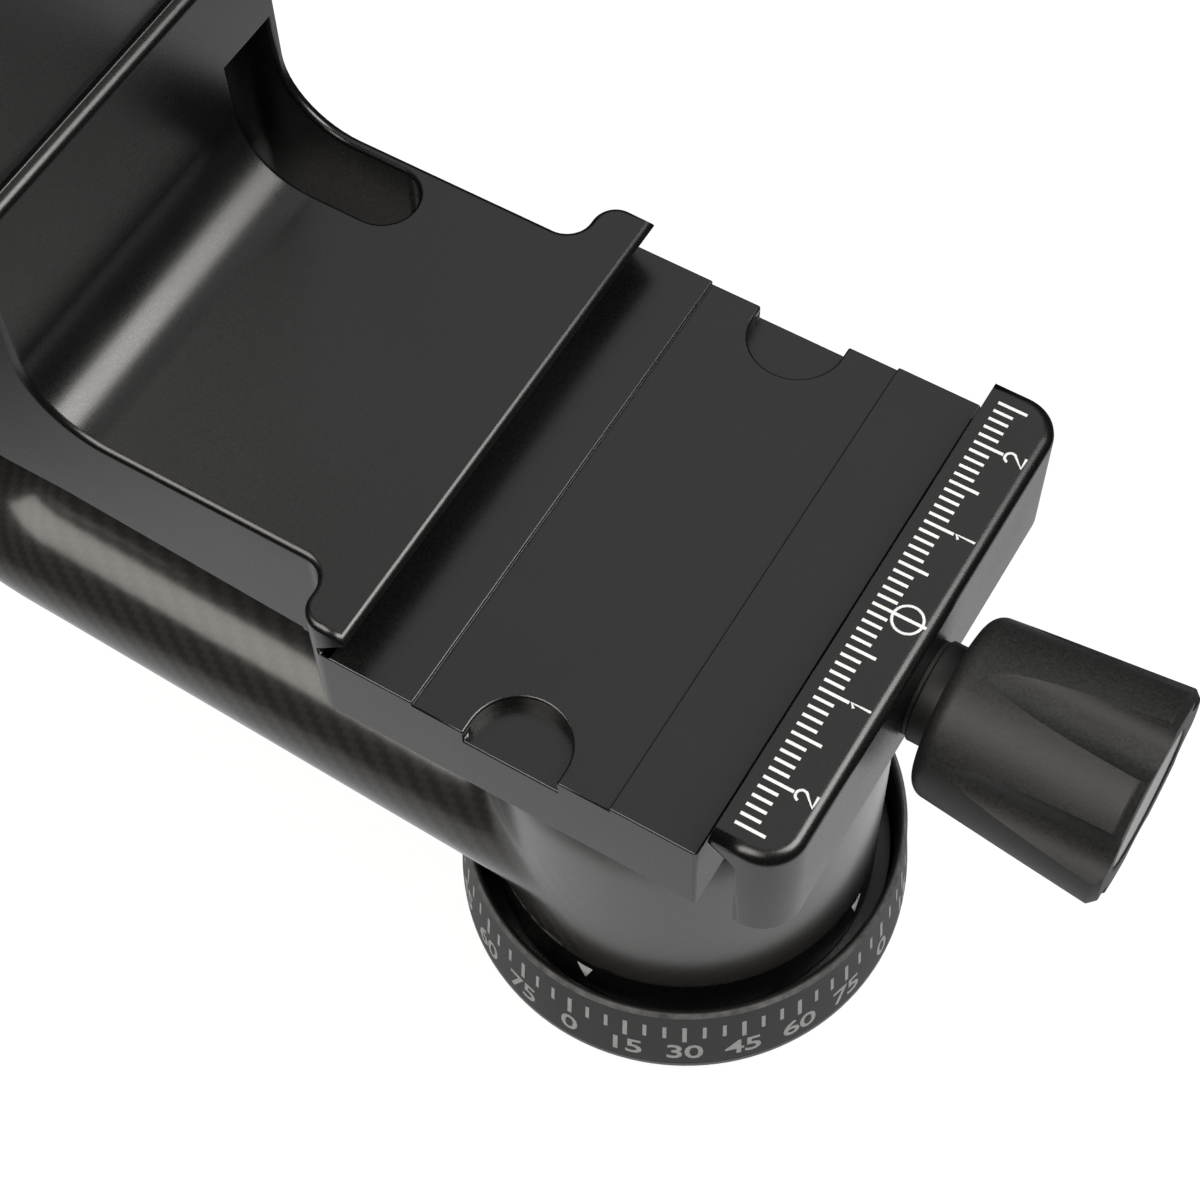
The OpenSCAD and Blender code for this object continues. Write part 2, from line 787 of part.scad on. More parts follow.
module clamp_knob() {
  color("#2b2b2d") on_clamp() translate([0, 0, clamp_washer_h + neck_l]) fluted_knob(1);
}

module clamp_screw() {
  color("#3a3a3c") on_clamp() knob_stem(body_end - jaw_out - screw_in, clamp_washer_h + neck_l, 1);
}

module clamp_washer() {
  color("#303032") on_clamp() ring(clamp_washer_r, screw_r + seat_fit, 0, clamp_washer_h);
}

module clamp_knob_disc() {
  color("#6a6a6c") on_clamp() translate([0, 0, clamp_washer_h + neck_l]) knob_disc(1);
}

base_plate();
dial_ring();
tripod_bush();
pan_spindle();
base_screws();
spindle_washer();
spindle_nut();
pan_housing();
lower_pan_bearing();
upper_pan_bearing();
arm_shell();
tilt_housing();
inner_tilt_bearing();
outer_tilt_bearing();
end_cap();
end_cap_screws();
pan_brake_shoe();
pan_lock_knob();
pan_lock_screw();
pan_knob_disc();
tilt_brake_pad();
tilt_lock_knob();
tilt_lock_screw();
tilt_knob_disc();
tilt_shaft();
tilt_nut();
cradle();
hub_screws();
jaw();
guide_pins();
clamp_knob();
clamp_screw();
clamp_washer();
clamp_knob_disc();
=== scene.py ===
import json
import math

import bmesh
import bpy
from mathutils import Euler, Matrix, Vector


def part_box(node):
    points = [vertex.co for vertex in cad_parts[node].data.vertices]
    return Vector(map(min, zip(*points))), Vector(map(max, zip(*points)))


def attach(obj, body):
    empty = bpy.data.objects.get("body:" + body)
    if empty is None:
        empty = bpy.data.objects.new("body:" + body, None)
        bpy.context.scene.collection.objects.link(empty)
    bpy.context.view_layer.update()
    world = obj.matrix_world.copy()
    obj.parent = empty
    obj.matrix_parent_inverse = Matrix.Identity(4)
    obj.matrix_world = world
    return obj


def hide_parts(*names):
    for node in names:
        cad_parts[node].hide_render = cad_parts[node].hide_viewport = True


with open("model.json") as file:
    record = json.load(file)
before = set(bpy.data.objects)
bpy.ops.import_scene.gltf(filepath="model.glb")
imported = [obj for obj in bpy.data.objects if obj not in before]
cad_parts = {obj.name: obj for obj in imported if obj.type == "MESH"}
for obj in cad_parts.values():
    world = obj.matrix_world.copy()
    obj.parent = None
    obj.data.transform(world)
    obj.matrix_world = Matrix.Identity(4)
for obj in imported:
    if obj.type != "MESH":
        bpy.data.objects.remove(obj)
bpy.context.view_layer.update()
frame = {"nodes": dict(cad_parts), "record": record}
mm = 0.001
weld = 0.001 * mm
nodes = frame["nodes"]
print("frame loaded,", len(nodes), "nodes")


# shader helpers

def addNode(tree, kind, links, **values):
    node = tree.nodes.new(kind)
    for name, value in values.items():
        setattr(node, name, value)
    for socket, source in links.items():
        if isinstance(source, bpy.types.NodeSocket):
            tree.links.new(source, node.inputs[socket])
        else:
            node.inputs[socket].default_value = source
    return node


def maths(tree, operation, first, second=0.0):
    return addNode(tree, "ShaderNodeMath", {0: first, 1: second}, operation=operation).outputs[0]


def mapped(tree, value, start, end, low=0.0, high=1.0, way="LINEAR"):
    links = {"Value": value, "From Min": start, "From Max": end, "To Min": low, "To Max": high}
    return addNode(tree, "ShaderNodeMapRange", links, interpolation_type=way).outputs["Result"]


def noise(tree, place, scale, detail, roughness):
    links = {"Vector": place, "Scale": scale, "Detail": detail, "Roughness": roughness}
    return addNode(tree, "ShaderNodeTexNoise", links).outputs["Fac"]


def dotProduct(tree, place, toward):
    return addNode(tree, "ShaderNodeVectorMath", {0: place, 1: toward}, operation="DOT_PRODUCT").outputs["Value"]


def mixedValue(tree, share, first, second):
    return addNode(tree, "ShaderNodeMix", {0: share, 2: first, 3: second}, data_type="FLOAT").outputs[0]


def mixedColour(tree, share, first, second):
    return addNode(tree, "ShaderNodeMix", {0: share, 6: first, 7: second}, data_type="RGBA").outputs[2]


def mixedShader(tree, share, first, second):
    return addNode(tree, "ShaderNodeMixShader", {0: share, 1: first, 2: second}).outputs[0]


def newGroup(name, inputs, outputs):
    group = bpy.data.node_groups.new(name, "ShaderNodeTree")
    for label, kind in inputs:
        group.interface.new_socket(label, in_out="INPUT", socket_type="NodeSocket" + kind)
    for label, kind in outputs:
        group.interface.new_socket(label, in_out="OUTPUT", socket_type="NodeSocket" + kind)
    return group, group.nodes.new("NodeGroupInput").outputs, group.nodes.new("NodeGroupOutput").inputs


def placeGroup(tree, group, links):
    return addNode(tree, "ShaderNodeGroup", links, node_tree=group).outputs


def newMaterial(name, **principled):
    material = bpy.data.materials.new(name)
    material.use_nodes = True
    tree = material.node_tree
    shader = tree.nodes["Principled BSDF"]
    for socket, value in principled.items():
        shader.inputs[socket.replace("_", " ")].default_value = value
    place = tree.nodes.new("ShaderNodeTexCoord").outputs["Object"]
    return material, tree, shader, place


def linkFinish(tree, shader, finish):
    tree.links.new(finish["Colour"], shader.inputs["Base Color"])
    tree.links.new(finish["Roughness"], shader.inputs["Roughness"])


def addBump(tree, shader, height, depth, strength):
    bump = addNode(tree, "ShaderNodeBump", {"Height": height, "Distance": depth, "Strength": strength})
    tree.links.new(bump.outputs["Normal"], shader.inputs["Normal"])


def grey(level, warmth=0.0):
    return (level * (1 + warmth), level, level * (1 - warmth), 1.0)


# fine grain of a blasted and dyed surface: speckled colour, uneven gloss and a low relief
grainLook = {"fineDetail": 3.0, "fineRoughness": 0.6, "fineShare": 0.7, "cloudScale": 90.0, "cloudDetail": 2.0,
             "cloudRoughness": 0.5, "low": 0.35, "high": 0.65}


def blastedGrain():
    g = grainLook
    group, given, made = newGroup(
        "blastedGrain",
        [("Place", "Vector"), ("Grain Scale", "Float"), ("Dark", "Color"), ("Light", "Color"),
         ("Gloss Low", "Float"), ("Gloss High", "Float")],
        [("Colour", "Color"), ("Roughness", "Float"), ("Height", "Float")])
    fine = noise(group, given["Place"], given["Grain Scale"], g["fineDetail"], g["fineRoughness"])
    cloud = noise(group, given["Place"], g["cloudScale"], g["cloudDetail"], g["cloudRoughness"])
    both = maths(group, "ADD", maths(group, "MULTIPLY", fine, g["fineShare"]),
                 maths(group, "MULTIPLY", cloud, 1 - g["fineShare"]))
    share = mapped(group, both, g["low"], g["high"])
    gloss = mapped(group, both, g["low"], g["high"], given["Gloss Low"], given["Gloss High"])
    group.links.new(mixedColour(group, share, given["Dark"], given["Light"]), made["Colour"])
    group.links.new(gloss, made["Roughness"])
    group.links.new(fine, made["Height"])
    return group


# two-by-two twill: every tow passes over two and under two, one step on for each row
twillSteps = {"repeat": 4.0, "over": 1.5}


def carbonTwill():
    group, given, made = newGroup(
        "carbonTwill", [("Along", "Float"), ("Around", "Float"), ("Tow", "Float")],
        [("Shade", "Float"), ("Height", "Float")])
    along = maths(group, "DIVIDE", given["Along"], given["Tow"])
    around = maths(group, "DIVIDE", given["Around"], given["Tow"])
    step = maths(group, "ADD", maths(group, "FLOOR", along), maths(group, "FLOOR", around))
    inRepeat = maths(group, "FLOORED_MODULO", step, twillSteps["repeat"])
    warpOver = maths(group, "LESS_THAN", inRepeat, twillSteps["over"])
    warpRound, weftRound = [maths(group, "SINE", maths(group, "MULTIPLY", maths(group, "FRACT", tows), math.pi))
                            for tows in (around, along)]
    group.links.new(warpOver, made["Shade"])
    group.links.new(mixedValue(group, warpOver, weftRound, warpRound), made["Height"])
    return group


# slightly uneven colour and gloss of turned metal
turnedLook = {"scale": 1400.0, "detail": 2.0, "roughness": 0.5, "glossSpread": 0.08}


def turnedMetal():
    t = turnedLook
    group, given, made = newGroup(
        "turnedMetal", [("Place", "Vector"), ("Dark", "Color"), ("Light", "Color"), ("Gloss", "Float")],
        [("Colour", "Color"), ("Roughness", "Float")])
    uneven = noise(group, given["Place"], t["scale"], t["detail"], t["roughness"])
    glossShift = maths(group, "MULTIPLY", maths(group, "SUBTRACT", uneven, 0.5), t["glossSpread"])
    group.links.new(mixedColour(group, uneven, given["Dark"], given["Light"]), made["Colour"])
    group.links.new(maths(group, "ADD", given["Gloss"], glossShift), made["Roughness"])
    return group


grainGroup, twillGroup, turnedGroup = blastedGrain(), carbonTwill(), turnedMetal()


def blastedMaterial(name, look):
    material, tree, shader, place = newMaterial(name, IOR=look["ior"])
    grain = placeGroup(tree, grainGroup, {
        "Place": place, "Grain Scale": look["grainScale"], "Dark": grey(look["dark"]), "Light": grey(look["light"]),
        "Gloss Low": look["glossLow"], "Gloss High": look["glossHigh"]})
    linkFinish(tree, shader, grain)
    addBump(tree, shader, grain["Height"], look["relief"] * mm, look["bump"])
    return material


def turnedMaterial(name, look):
    material, tree, shader, place = newMaterial(name, Metallic=look["metallic"])
    linkFinish(tree, shader, placeGroup(tree, turnedGroup, {
        "Place": place, "Dark": look["dark"], "Light": look["light"], "Gloss": look["gloss"]}))
    return material


blastedLooks = {
    "black_anodised": {"ior": 1.7, "grainScale": 5200.0, "dark": 0.002, "light": 0.005, "glossLow": 0.25,
                       "glossHigh": 0.33, "relief": 0.02, "bump": 0.17},
    "knob_black": {"ior": 1.44, "grainScale": 3200.0, "dark": 0.011, "light": 0.025, "glossLow": 0.42,
                   "glossHigh": 0.54, "relief": 0.03, "bump": 0.5},
    "dial_grey": {"ior": 1.42, "grainScale": 4200.0, "dark": 0.01, "light": 0.017, "glossLow": 0.46,
                  "glossHigh": 0.56, "relief": 0.015, "bump": 0.25},
    "white_print": {"ior": 1.45, "grainScale": 2600.0, "dark": 0.74, "light": 0.84, "glossLow": 0.45,
                    "glossHigh": 0.55, "relief": 0.01, "bump": 0.2},
    # paler grey of the painted highlight along the dial ring's top edge
    "dial_edge": {"ior": 1.45, "grainScale": 900.0, "dark": 0.05, "light": 0.13, "glossLow": 0.45,
                  "glossHigh": 0.55, "relief": 0.02, "bump": 0.3},
    "dial_print": {"ior": 1.45, "grainScale": 2600.0, "dark": 0.26, "light": 0.34, "glossLow": 0.45,
                   "glossHigh": 0.55, "relief": 0.01, "bump": 0.2},
}
turnedLooks = {
    "disc_grey": {"metallic": 0.6, "dark": grey(0.40), "light": grey(0.48), "gloss": 0.42},
    "bare_steel": {"metallic": 1.0, "dark": grey(0.50, 0.01), "light": grey(0.56, 0.01), "gloss": 0.3},
    "bearing_steel": {"metallic": 1.0, "dark": grey(0.52), "light": grey(0.62), "gloss": 0.2},
    "dark_steel": {"metallic": 0.3, "dark": grey(0.025), "light": grey(0.04), "gloss": 0.5},
    "brake_brass": {"metallic": 1.0, "dark": (0.52, 0.36, 0.14, 1.0), "light": (0.62, 0.45, 0.2, 1.0),
                    "gloss": 0.3},
}
finishes = {name: blastedMaterial(name + "_finish", look) for name, look in blastedLooks.items()}
finishes.update({name: turnedMaterial(name + "_finish", look) for name, look in turnedLooks.items()})

# the carbon shell: the twill follows the flat arm round its bend, and wraps round the post at its end
armShape = {"thick": 20.0, "half": 20.3, "low": 17.2, "elbowIn": 10.0, "postR": 21.8, "wall": 2.4, "tow": 0.78,
            "sideLean": 1.0001, "overArm": 1.0, "postReach": 1.2}
armShape["elbowR"] = armShape["thick"] / 2 + armShape["elbowIn"]
armShape["bendX"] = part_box("arm_shell")[0][0] / mm + armShape["thick"] / 2 + armShape["elbowR"]
armShape["bendZ"] = armShape["low"] + armShape["thick"] / 2 + armShape["elbowR"]
armLook = {"warp": grey(0.032, 0.06), "weft": grey(0.022, 0.05), "metallic": 0.2, "roughness": 0.38, "ior": 1.5,
           "specular": 0.12, "coatRoughness": 0.2, "relief": 0.04, "bump": 0.14, "onPost": 0.3}


def carbonMaterial(name):
    a = armShape
    material, tree, shader, place = newMaterial(
        name, Metallic=armLook["metallic"], Roughness=armLook["roughness"], Coat_Weight=1.0,
        Coat_Roughness=armLook["coatRoughness"], IOR=armLook["ior"], Specular_IOR_Level=armLook["specular"])

    def calc(operation, first, second=0.0):
        return maths(tree, operation, first, second)

    spot = addNode(tree, "ShaderNodeSeparateXYZ", {0: place}).outputs
    backX = calc("SUBTRACT", a["bendX"] * mm, spot["X"])
    downZ = calc("SUBTRACT", a["bendZ"] * mm, spot["Z"])
    bendX = calc("MAXIMUM", backX, 0.0)
    bendZ = calc("MAXIMUM", downZ, 0.0)
    reach = calc("SQRT", calc("ADD", calc("MULTIPLY", bendX, bendX), calc("MULTIPLY", bendZ, bendZ)))
    turned = calc("MULTIPLY", calc("ARCTAN2", bendX, bendZ), a["elbowR"] * mm)
    straight = calc("SUBTRACT", calc("MINIMUM", backX, 0.0), calc("MINIMUM", downZ, 0.0))
    armAlong = calc("ADD", turned, straight)
    inward = calc("SUBTRACT", a["elbowR"] * mm, reach)
    flat = (a["half"] - a["thick"] / 2) * mm
    onFlat = calc("MAXIMUM", calc("MINIMUM", spot["Y"], flat), -flat)
    overFlat = calc("SUBTRACT", onFlat, calc("MULTIPLY", spot["Y"], a["sideLean"]))
    sideTurn = calc("ARCTAN2", overFlat, inward)
    innerAround = calc("SUBTRACT", calc("MULTIPLY", sideTurn, a["thick"] / 2 * mm), onFlat)
    backOver = calc("SUBTRACT", onFlat, calc("MULTIPLY", calc("SIGN", spot["Y"]), flat))
    atBack = calc("MULTIPLY", calc("LESS_THAN", inward, 0.0), 2.0)
    armAround = calc("ADD", innerAround, calc("MULTIPLY", atBack, backOver))
    postAlong = calc("MULTIPLY", calc("ARCTAN2", spot["X"], spot["Y"]), a["postR"] * mm)
    overArm = calc("GREATER_THAN", spot["Z"], (a["low"] + a["thick"] + a["overArm"]) * mm)
    nearPost = calc("GREATER_THAN", spot["X"], -a["postReach"] * a["postR"] * mm)
    onPost = calc("MAXIMUM", calc("GREATER_THAN", spot["X"], 0.0), calc("MULTIPLY", overArm, nearPost))
    along = mixedValue(tree, onPost, armAlong, postAlong)
    around = mixedValue(tree, onPost, armAround, spot["Z"])
    twill = placeGroup(tree, twillGroup, {"Along": along, "Around": around, "Tow": a["tow"] * mm})
    strength = mapped(tree, onPost, 0.0, 1.0, 1.0, armLook["onPost"])
    shade = calc("ADD", calc("MULTIPLY", calc("SUBTRACT", twill["Shade"], 0.5), strength), 0.5)
    tree.links.new(mixedColour(tree, shade, armLook["weft"], armLook["warp"]), shader.inputs["Base Color"])
    addBump(tree, shader, calc("MULTIPLY", twill["Height"], strength), armLook["relief"] * mm, armLook["bump"])
    return material


finishes["carbon"] = carbonMaterial("carbon_finish")
slotOf = {part["node"]: part["material_slot"] for part in frame["record"]["subparts"]}
bodyOf = {node: body for body, members in frame["record"]["behaviour"]["bodies"].items() for node in members}
for node, piece in nodes.items():
    piece.data.materials.clear()
    piece.data.materials.append(finishes[slotOf[node]])
print("finishes made:", len(finishes))


# piece helpers

def addObject(name, data):
    holder = bpy.data.objects.new(name, data)
    bpy.context.scene.collection.objects.link(holder)
    return holder


def meshFrom(bm, name):
    mesh = bpy.data.meshes.new(name)
    bm.to_mesh(mesh)
    bm.free()
    return mesh


def joinMesh(bm, other):
    mesh = meshFrom(other, "joined")
    bm.from_mesh(mesh)
    bpy.data.meshes.remove(mesh)


def placePiece(bm, name, body, finish, standsFor=()):
    mesh = meshFrom(bm, name)
    mesh.materials.append(finishes[finish])
    piece = addObject(name, mesh)
    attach(piece, body)
    if standsFor:
        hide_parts(*standsFor)
    return piece


def shadeSmooth(bm, crease):
    for face in bm.faces:
        face.smooth = True
    for edge in bm.edges:
        edge.smooth = edge.calc_face_angle(0.0) < math.radians(crease)


def arcPoints(centre, radius, first, last, count):
    turns = [math.radians(first + (last - first) * i / count) for i in range(count + 1)]
    return [(centre[0] + radius * math.cos(a), centre[1] + radius * math.sin(a)) for a in turns]


# a closed outline of (radius, height) points, turned about the upright axis
def turnedBody(points, steps):
    bm = bmesh.new()
    outline = [bm.verts.new((r * mm, 0.0, z * mm)) for r, z in points]
    edges = [bm.edges.new(pair) for pair in zip(outline, outline[1:] + outline[:1])]
    bmesh.ops.spin(bm, geom=outline + edges, axis=(0, 0, 1), cent=(0, 0, 0), angle=math.tau, steps=steps,
                   use_merge=True)
    bmesh.ops.remove_doubles(bm, verts=bm.verts, dist=weld)
    return bm


def addBar(bm, low, high):
    size = Vector(high) - Vector(low)
    middle = (Vector(low) + Vector(high)) / 2
    place = Matrix.Translation(middle * mm) @ Matrix.Diagonal((*(size * mm), 1.0))
    bmesh.ops.create_cube(bm, size=1.0, matrix=place)


def curveMesh(curve):
    holder = bpy.data.objects.new(curve.name, curve)
    mesh = bpy.data.meshes.new_from_object(holder)
    bm = bmesh.new()
    bm.from_mesh(mesh)
    bpy.data.objects.remove(holder)
    bpy.data.curves.remove(curve)
    bpy.data.meshes.remove(mesh)
    return bm


# a copy of a node whose outer edges are broken, each by the width that its rule gives
softening = {"sameFace": 0.2, "leastTurn": 28.0, "segments": 4, "profile": 0.5}


def softenedNode(node, widest, edgeWidth, evenWidths=False):
    bm = bmesh.new()
    bm.from_mesh(nodes[node].data)
    bmesh.ops.remove_doubles(bm, verts=bm.verts, dist=weld)
    bmesh.ops.dissolve_limit(bm, angle_limit=math.radians(softening["sameFace"]), verts=bm.verts, edges=bm.edges)
    weight = bm.edges.layers.float.new("bevel_weight_edge")
    for face in bm.faces:
        face.smooth = True
    for edge in bm.edges:
        turn = edge.calc_face_angle_signed(0.0)
        if abs(turn) < math.radians(softening["leastTurn"]):
            continue
        middle = (edge.verts[0].co + edge.verts[1].co) / 2 / mm
        width = edgeWidth(middle) if turn > 0 else 0.0
        edge[weight] = width / widest
        edge.smooth = width > 0
    piece = placePiece(bm, node + ".soft", bodyOf[node], slotOf[node], [node])
    bevel = piece.modifiers.new("soft edges", "BEVEL")
    bevel.limit_method = "WEIGHT"
    bevel.width = widest * mm
    bevel.segments = softening["segments"]
    bevel.profile = softening["profile"]
    bevel.use_clamp_overlap = False
    bevel.loop_slide = not evenWidths
    shading = piece.modifiers.new("even shading", "WEIGHTED_NORMAL")
    shading.keep_sharp = True


# cradle and jaw: where an edge lies tells how wide it is broken
clampShape = {"opening": 37.4, "floorDepth": 5.2, "undercut": 3.6, "headR": 21.7, "screwsR": 18.5}
clampZones = {"close": 0.06, "slotNear": 11.0, "slotFar": 20.9, "slotBeforeLip": 20.0, "slotOverTop": 15.0,
              "bottomHigh": 3.2, "reliefHalf": 20.0, "stepOverTop": 20.0, "stepBeforeLip": 40.0, "waistHalf": 21.0,
              "jawFront": 3.0, "boreUnderTop": 4.0}
clampEdges = {"outer": 0.78, "jaw": 1.3, "jawInner": 0.15, "floor": 0.2, "notch": 0.3, "relief": 0.18, "bottom": 0.4,
              "slot": 0.5, "bore": 0.25, "corner": 0.4, "step": 1.1}
jawLow, jawHigh = [Vector(corner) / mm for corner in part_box("jaw")]
cradleLow, cradleHigh = [Vector(corner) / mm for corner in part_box("cradle")]
topZ = jawHigh.z
lipX = jawLow.x - clampShape["opening"]
rootX = lipX - clampShape["undercut"]
floorZ = topZ - clampShape["floorDepth"]
tiltZ = cradleHigh.z - clampShape["headR"]


def inSlot(at):
    zone = clampZones
    across = zone["slotNear"] < at.y < zone["slotFar"]
    return across and at.x < lipX - zone["slotBeforeLip"] and at.z < topZ + zone["slotOverTop"]


def cradleEdge(at):
    zone = clampZones
    close = zone["close"]
    onSide = abs(at.y) > cradleHigh.y - close
    atEnd = at.x > cradleHigh.x - close
    underTop = at.z < topZ - close
    if math.hypot(at.y, at.z - tiltZ) < clampShape["screwsR"]:
        return clampEdges["bore"]
    if inSlot(at):
        return clampEdges["slot"]
    if at.z < cradleLow.z + zone["bottomHigh"] or at.x < cradleLow.x + close or (underTop and at.x < rootX - close):
        return clampEdges["bottom"]
    if underTop:
        if atEnd and onSide:
            return clampEdges["corner"]
        if at.z > floorZ + close:
            return 0.0
        if onSide or atEnd:
            return clampEdges["floor"]
        return clampEdges["relief"] if abs(at.y) < zone["reliefHalf"] else clampEdges["notch"]
    if (at.z > topZ + zone["stepOverTop"] and at.x > lipX - zone["stepBeforeLip"]
            and abs(at.y) < zone["waistHalf"]):
        return clampEdges["step"]
    return clampEdges["outer"]


def jawEdge(at):
    zone = clampZones
    if at.z < jawLow.z + zone["close"]:
        return clampEdges["bottom"]
    if at.z > topZ - zone["close"]:
        return clampEdges["jaw"] if at.x > jawLow.x + zone["close"] else clampEdges["jawInner"]
    if at.x < jawLow.x + zone["jawFront"]:
        return 0.0
    if abs(at.y) < zone["waistHalf"] and at.z < topZ - zone["boreUnderTop"]:
        return clampEdges["bore"]
    return clampEdges["jaw"]


softenedNode("cradle", clampEdges["outer"], cradleEdge)
softenedNode("jaw", clampEdges["jaw"], jawEdge)
print("cradle and jaw softened")

# turned pieces whose edges are all broken alike, but for the base plate's thin lands between its holes
brokenEdges = {"base_plate": 0.4, "dial_ring": 0.12, "tilt_housing": 0.7, "end_cap": 0.5, "pan_knob_disc": 0.15,
               "tilt_knob_disc": 0.2, "clamp_knob_disc": 0.15, "clamp_screw": 0.2, "pan_lock_screw": 0.2,
               "tilt_lock_screw": 0.2, "clamp_washer": 0.1, "hub_screws": 0.2, "end_cap_screws": 0.15,
               "base_screws": 0.15, "tripod_bush": 0.3, "tilt_shaft": 0.3}
sharpWithin = {"base_plate": 15.0}


def brokenEdge(width, sharpR):
    return lambda at: width if math.hypot(at.x, at.y) >= sharpR else 0.0


for node, width in brokenEdges.items():
    softenedNode(node, width, brokenEdge(width, sharpWithin.get(node, 0.0)), evenWidths=True)
print("edges broken on", len(brokenEdges), "more pieces")

# fluted knobs: a turned body, with straight round flutes that deepen toward its outer end
knobShape = {"innerR": 9.2, "outerR": 11.0, "length": 19.9, "round": 1.8, "roundSteps": 10, "chamfer": 0.8,
             "soft": 0.14, "softShare": 0.3, "bore": 4.1, "discR": 7.1, "discFit": 0.05, "seatDepth": 1.2,
             "seatSoft": 0.15, "plainR": 7.65, "flutes": 6, "turn": 5.5, "cutterR": 3.7, "start": 0.16, "tipR": 9.36,
             "endR": 8.9, "narrowest": 2.5, "edgeSlack": 1.001, "crease": 24.0, "steps": 360, "rows": 72}
knobPlaces = {
    "clamp_knob": {"size": 1.0, "axis": "x", "side": 1, "turn": Matrix.Rotation(math.pi / 2, 4, "Y")},
    "pan_lock_knob": {"size": 1.0, "axis": "y", "side": 1, "turn": Matrix.Rotation(-math.pi / 2, 4, "X")},
    "tilt_lock_knob": {"size": 1.5, "axis": "x", "side": -1, "turn": Matrix.Rotation(-math.pi / 2, 4, "Y")},
}


# half outline of a knob as (radius, height), from its bore round the outside to the disc's seat
def knobOutline(size):
    k = knobShape
    inner, outer, length = k["innerR"] * size, k["outerR"] * size, k["length"] * size
    foot = arcPoints((inner - k["round"], k["round"]), k["round"], -90, 0, k["roundSteps"])
    shoulder = length - k["chamfer"]
    cone = [(inner + (outer - inner) * i / k["rows"], k["round"] + (shoulder - k["round"]) * i / k["rows"])
            for i in range(1, k["rows"])]
    soft, part = k["soft"], k["softShare"] * k["soft"]
    brow = [(outer, shoulder - soft), (outer - part, shoulder + part),
            (outer - k["chamfer"] + part, length - part), (outer - k["chamfer"] - soft, length)]
    seat = k["discR"] * size + k["discFit"]
    deep = length - k["seatDepth"] * size
    rim = [(seat + k["seatSoft"], length), (seat, length - k["seatSoft"]), (seat, deep), (k["bore"], deep)]
    return [(k["bore"], 0.0)] + foot + cone + brow + rim


# each ring's points are shared out between flutes and lands, so that the flutes' edges run along the mesh
def pressFlutes(bm, size):
    k = knobShape
    cutter = k["cutterR"] * size
    half = math.pi / k["flutes"]
    for vert in bm.verts:
        r = math.hypot(vert.co.x, vert.co.y) / mm
        if r < k["plainR"] * size:
            continue
        along = (vert.co.z / mm / (k["length"] * size) - k["start"]) / (1 - k["start"])
        away = (k["tipR"] + (k["endR"] - k["tipR"]) * along) * size + cutter
        reach = (r * r + away * away - cutter * cutter) / (2 * r * away)
        edge = max(math.acos(min(reach, 1.0)), math.radians(k["narrowest"]))
        angle = math.atan2(vert.co.y, vert.co.x)
        off = (angle + half) % (2 * half) - half
        share = 2 * abs(off) / half
        spread = edge * share if share < 1 else edge + (half - edge) * (share - 1)
        if share < k["edgeSlack"]:
            wall = away * math.cos(spread) - math.sqrt(max(cutter ** 2 - (away * math.sin(spread)) ** 2, 0.0))
            r = min(r, wall)
        turned = angle - off + math.copysign(spread, off) + math.radians(k["turn"])
        vert.co.x = r * math.cos(turned) * mm
        vert.co.y = r * math.sin(turned) * mm


def flutedKnob(node, place):
    bm = turnedBody(knobOutline(place["size"]), knobShape["steps"])
    pressFlutes(bm, place["size"])
    bmesh.ops.recalc_face_normals(bm, faces=bm.faces)
    shadeSmooth(bm, knobShape["crease"])
    low, high = [Vector(corner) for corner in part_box(node)]
    start = (low + high) / 2
    setattr(start, place["axis"], getattr(low if place["side"] > 0 else high, place["axis"]))
    bmesh.ops.transform(bm, matrix=Matrix.Translation(start) @ place["turn"], verts=bm.verts)
    placePiece(bm, node + ".fluted", bodyOf[node], slotOf[node], [node])


for node, place in knobPlaces.items():
    flutedKnob(node, place)
print("knobs fluted")

# carbon arm: the shell is remeshed and smoothed, as a moulded part has no facets, and its lower rim is trued up
armSkin = {"voxel": 0.8, "smoothing": 12, "pull": 0.5, "rimHigh": 1.4, "rimOver": 0.6, "rimFlat": 0.5,
           "roundFrom": -2.0, "crease": 45.0}


def carbonArm():
    a, s = armShape, armSkin
    draft = addObject("arm_draft", nodes["arm_shell"].data.copy())
    remesh = draft.modifiers.new("even skin", "REMESH")
    remesh.mode = "VOXEL"
    remesh.voxel_size = s["voxel"] * mm
    skin = bpy.data.meshes.new_from_object(draft.evaluated_get(bpy.context.evaluated_depsgraph_get()))
    bm = bmesh.new()
    bm.from_mesh(skin)
    bpy.data.objects.remove(draft)
    bpy.data.meshes.remove(skin)
    atRim = [vert for vert in bm.verts if vert.co.z < (a["low"] + s["rimHigh"]) * mm
             and vert.co.xy.length < (a["postR"] + s["rimOver"]) * mm]
    held = set(atRim)
    free = [vert for vert in bm.verts if vert not in held]
    for _ in range(s["smoothing"]):
        bmesh.ops.smooth_vert(bm, verts=free, factor=s["pull"], use_axis_x=True, use_axis_y=True, use_axis_z=True)
    middleR = a["postR"] - a["wall"] / 2
    for vert in atRim:
        r = vert.co.xy.length / mm
        target = a["postR"] if r > middleR else a["postR"] - a["wall"]
        if vert.co.x > s["roundFrom"] * mm or r < middleR:
            vert.co.xy *= target / r
        if vert.co.z < (a["low"] + s["rimFlat"]) * mm:
            vert.co.z = a["low"] * mm
    shadeSmooth(bm, s["crease"])
    placePiece(bm, "arm_shell.moulded", "arm", "carbon", ["arm_shell"])


carbonArm()
print("carbon arm moulded")

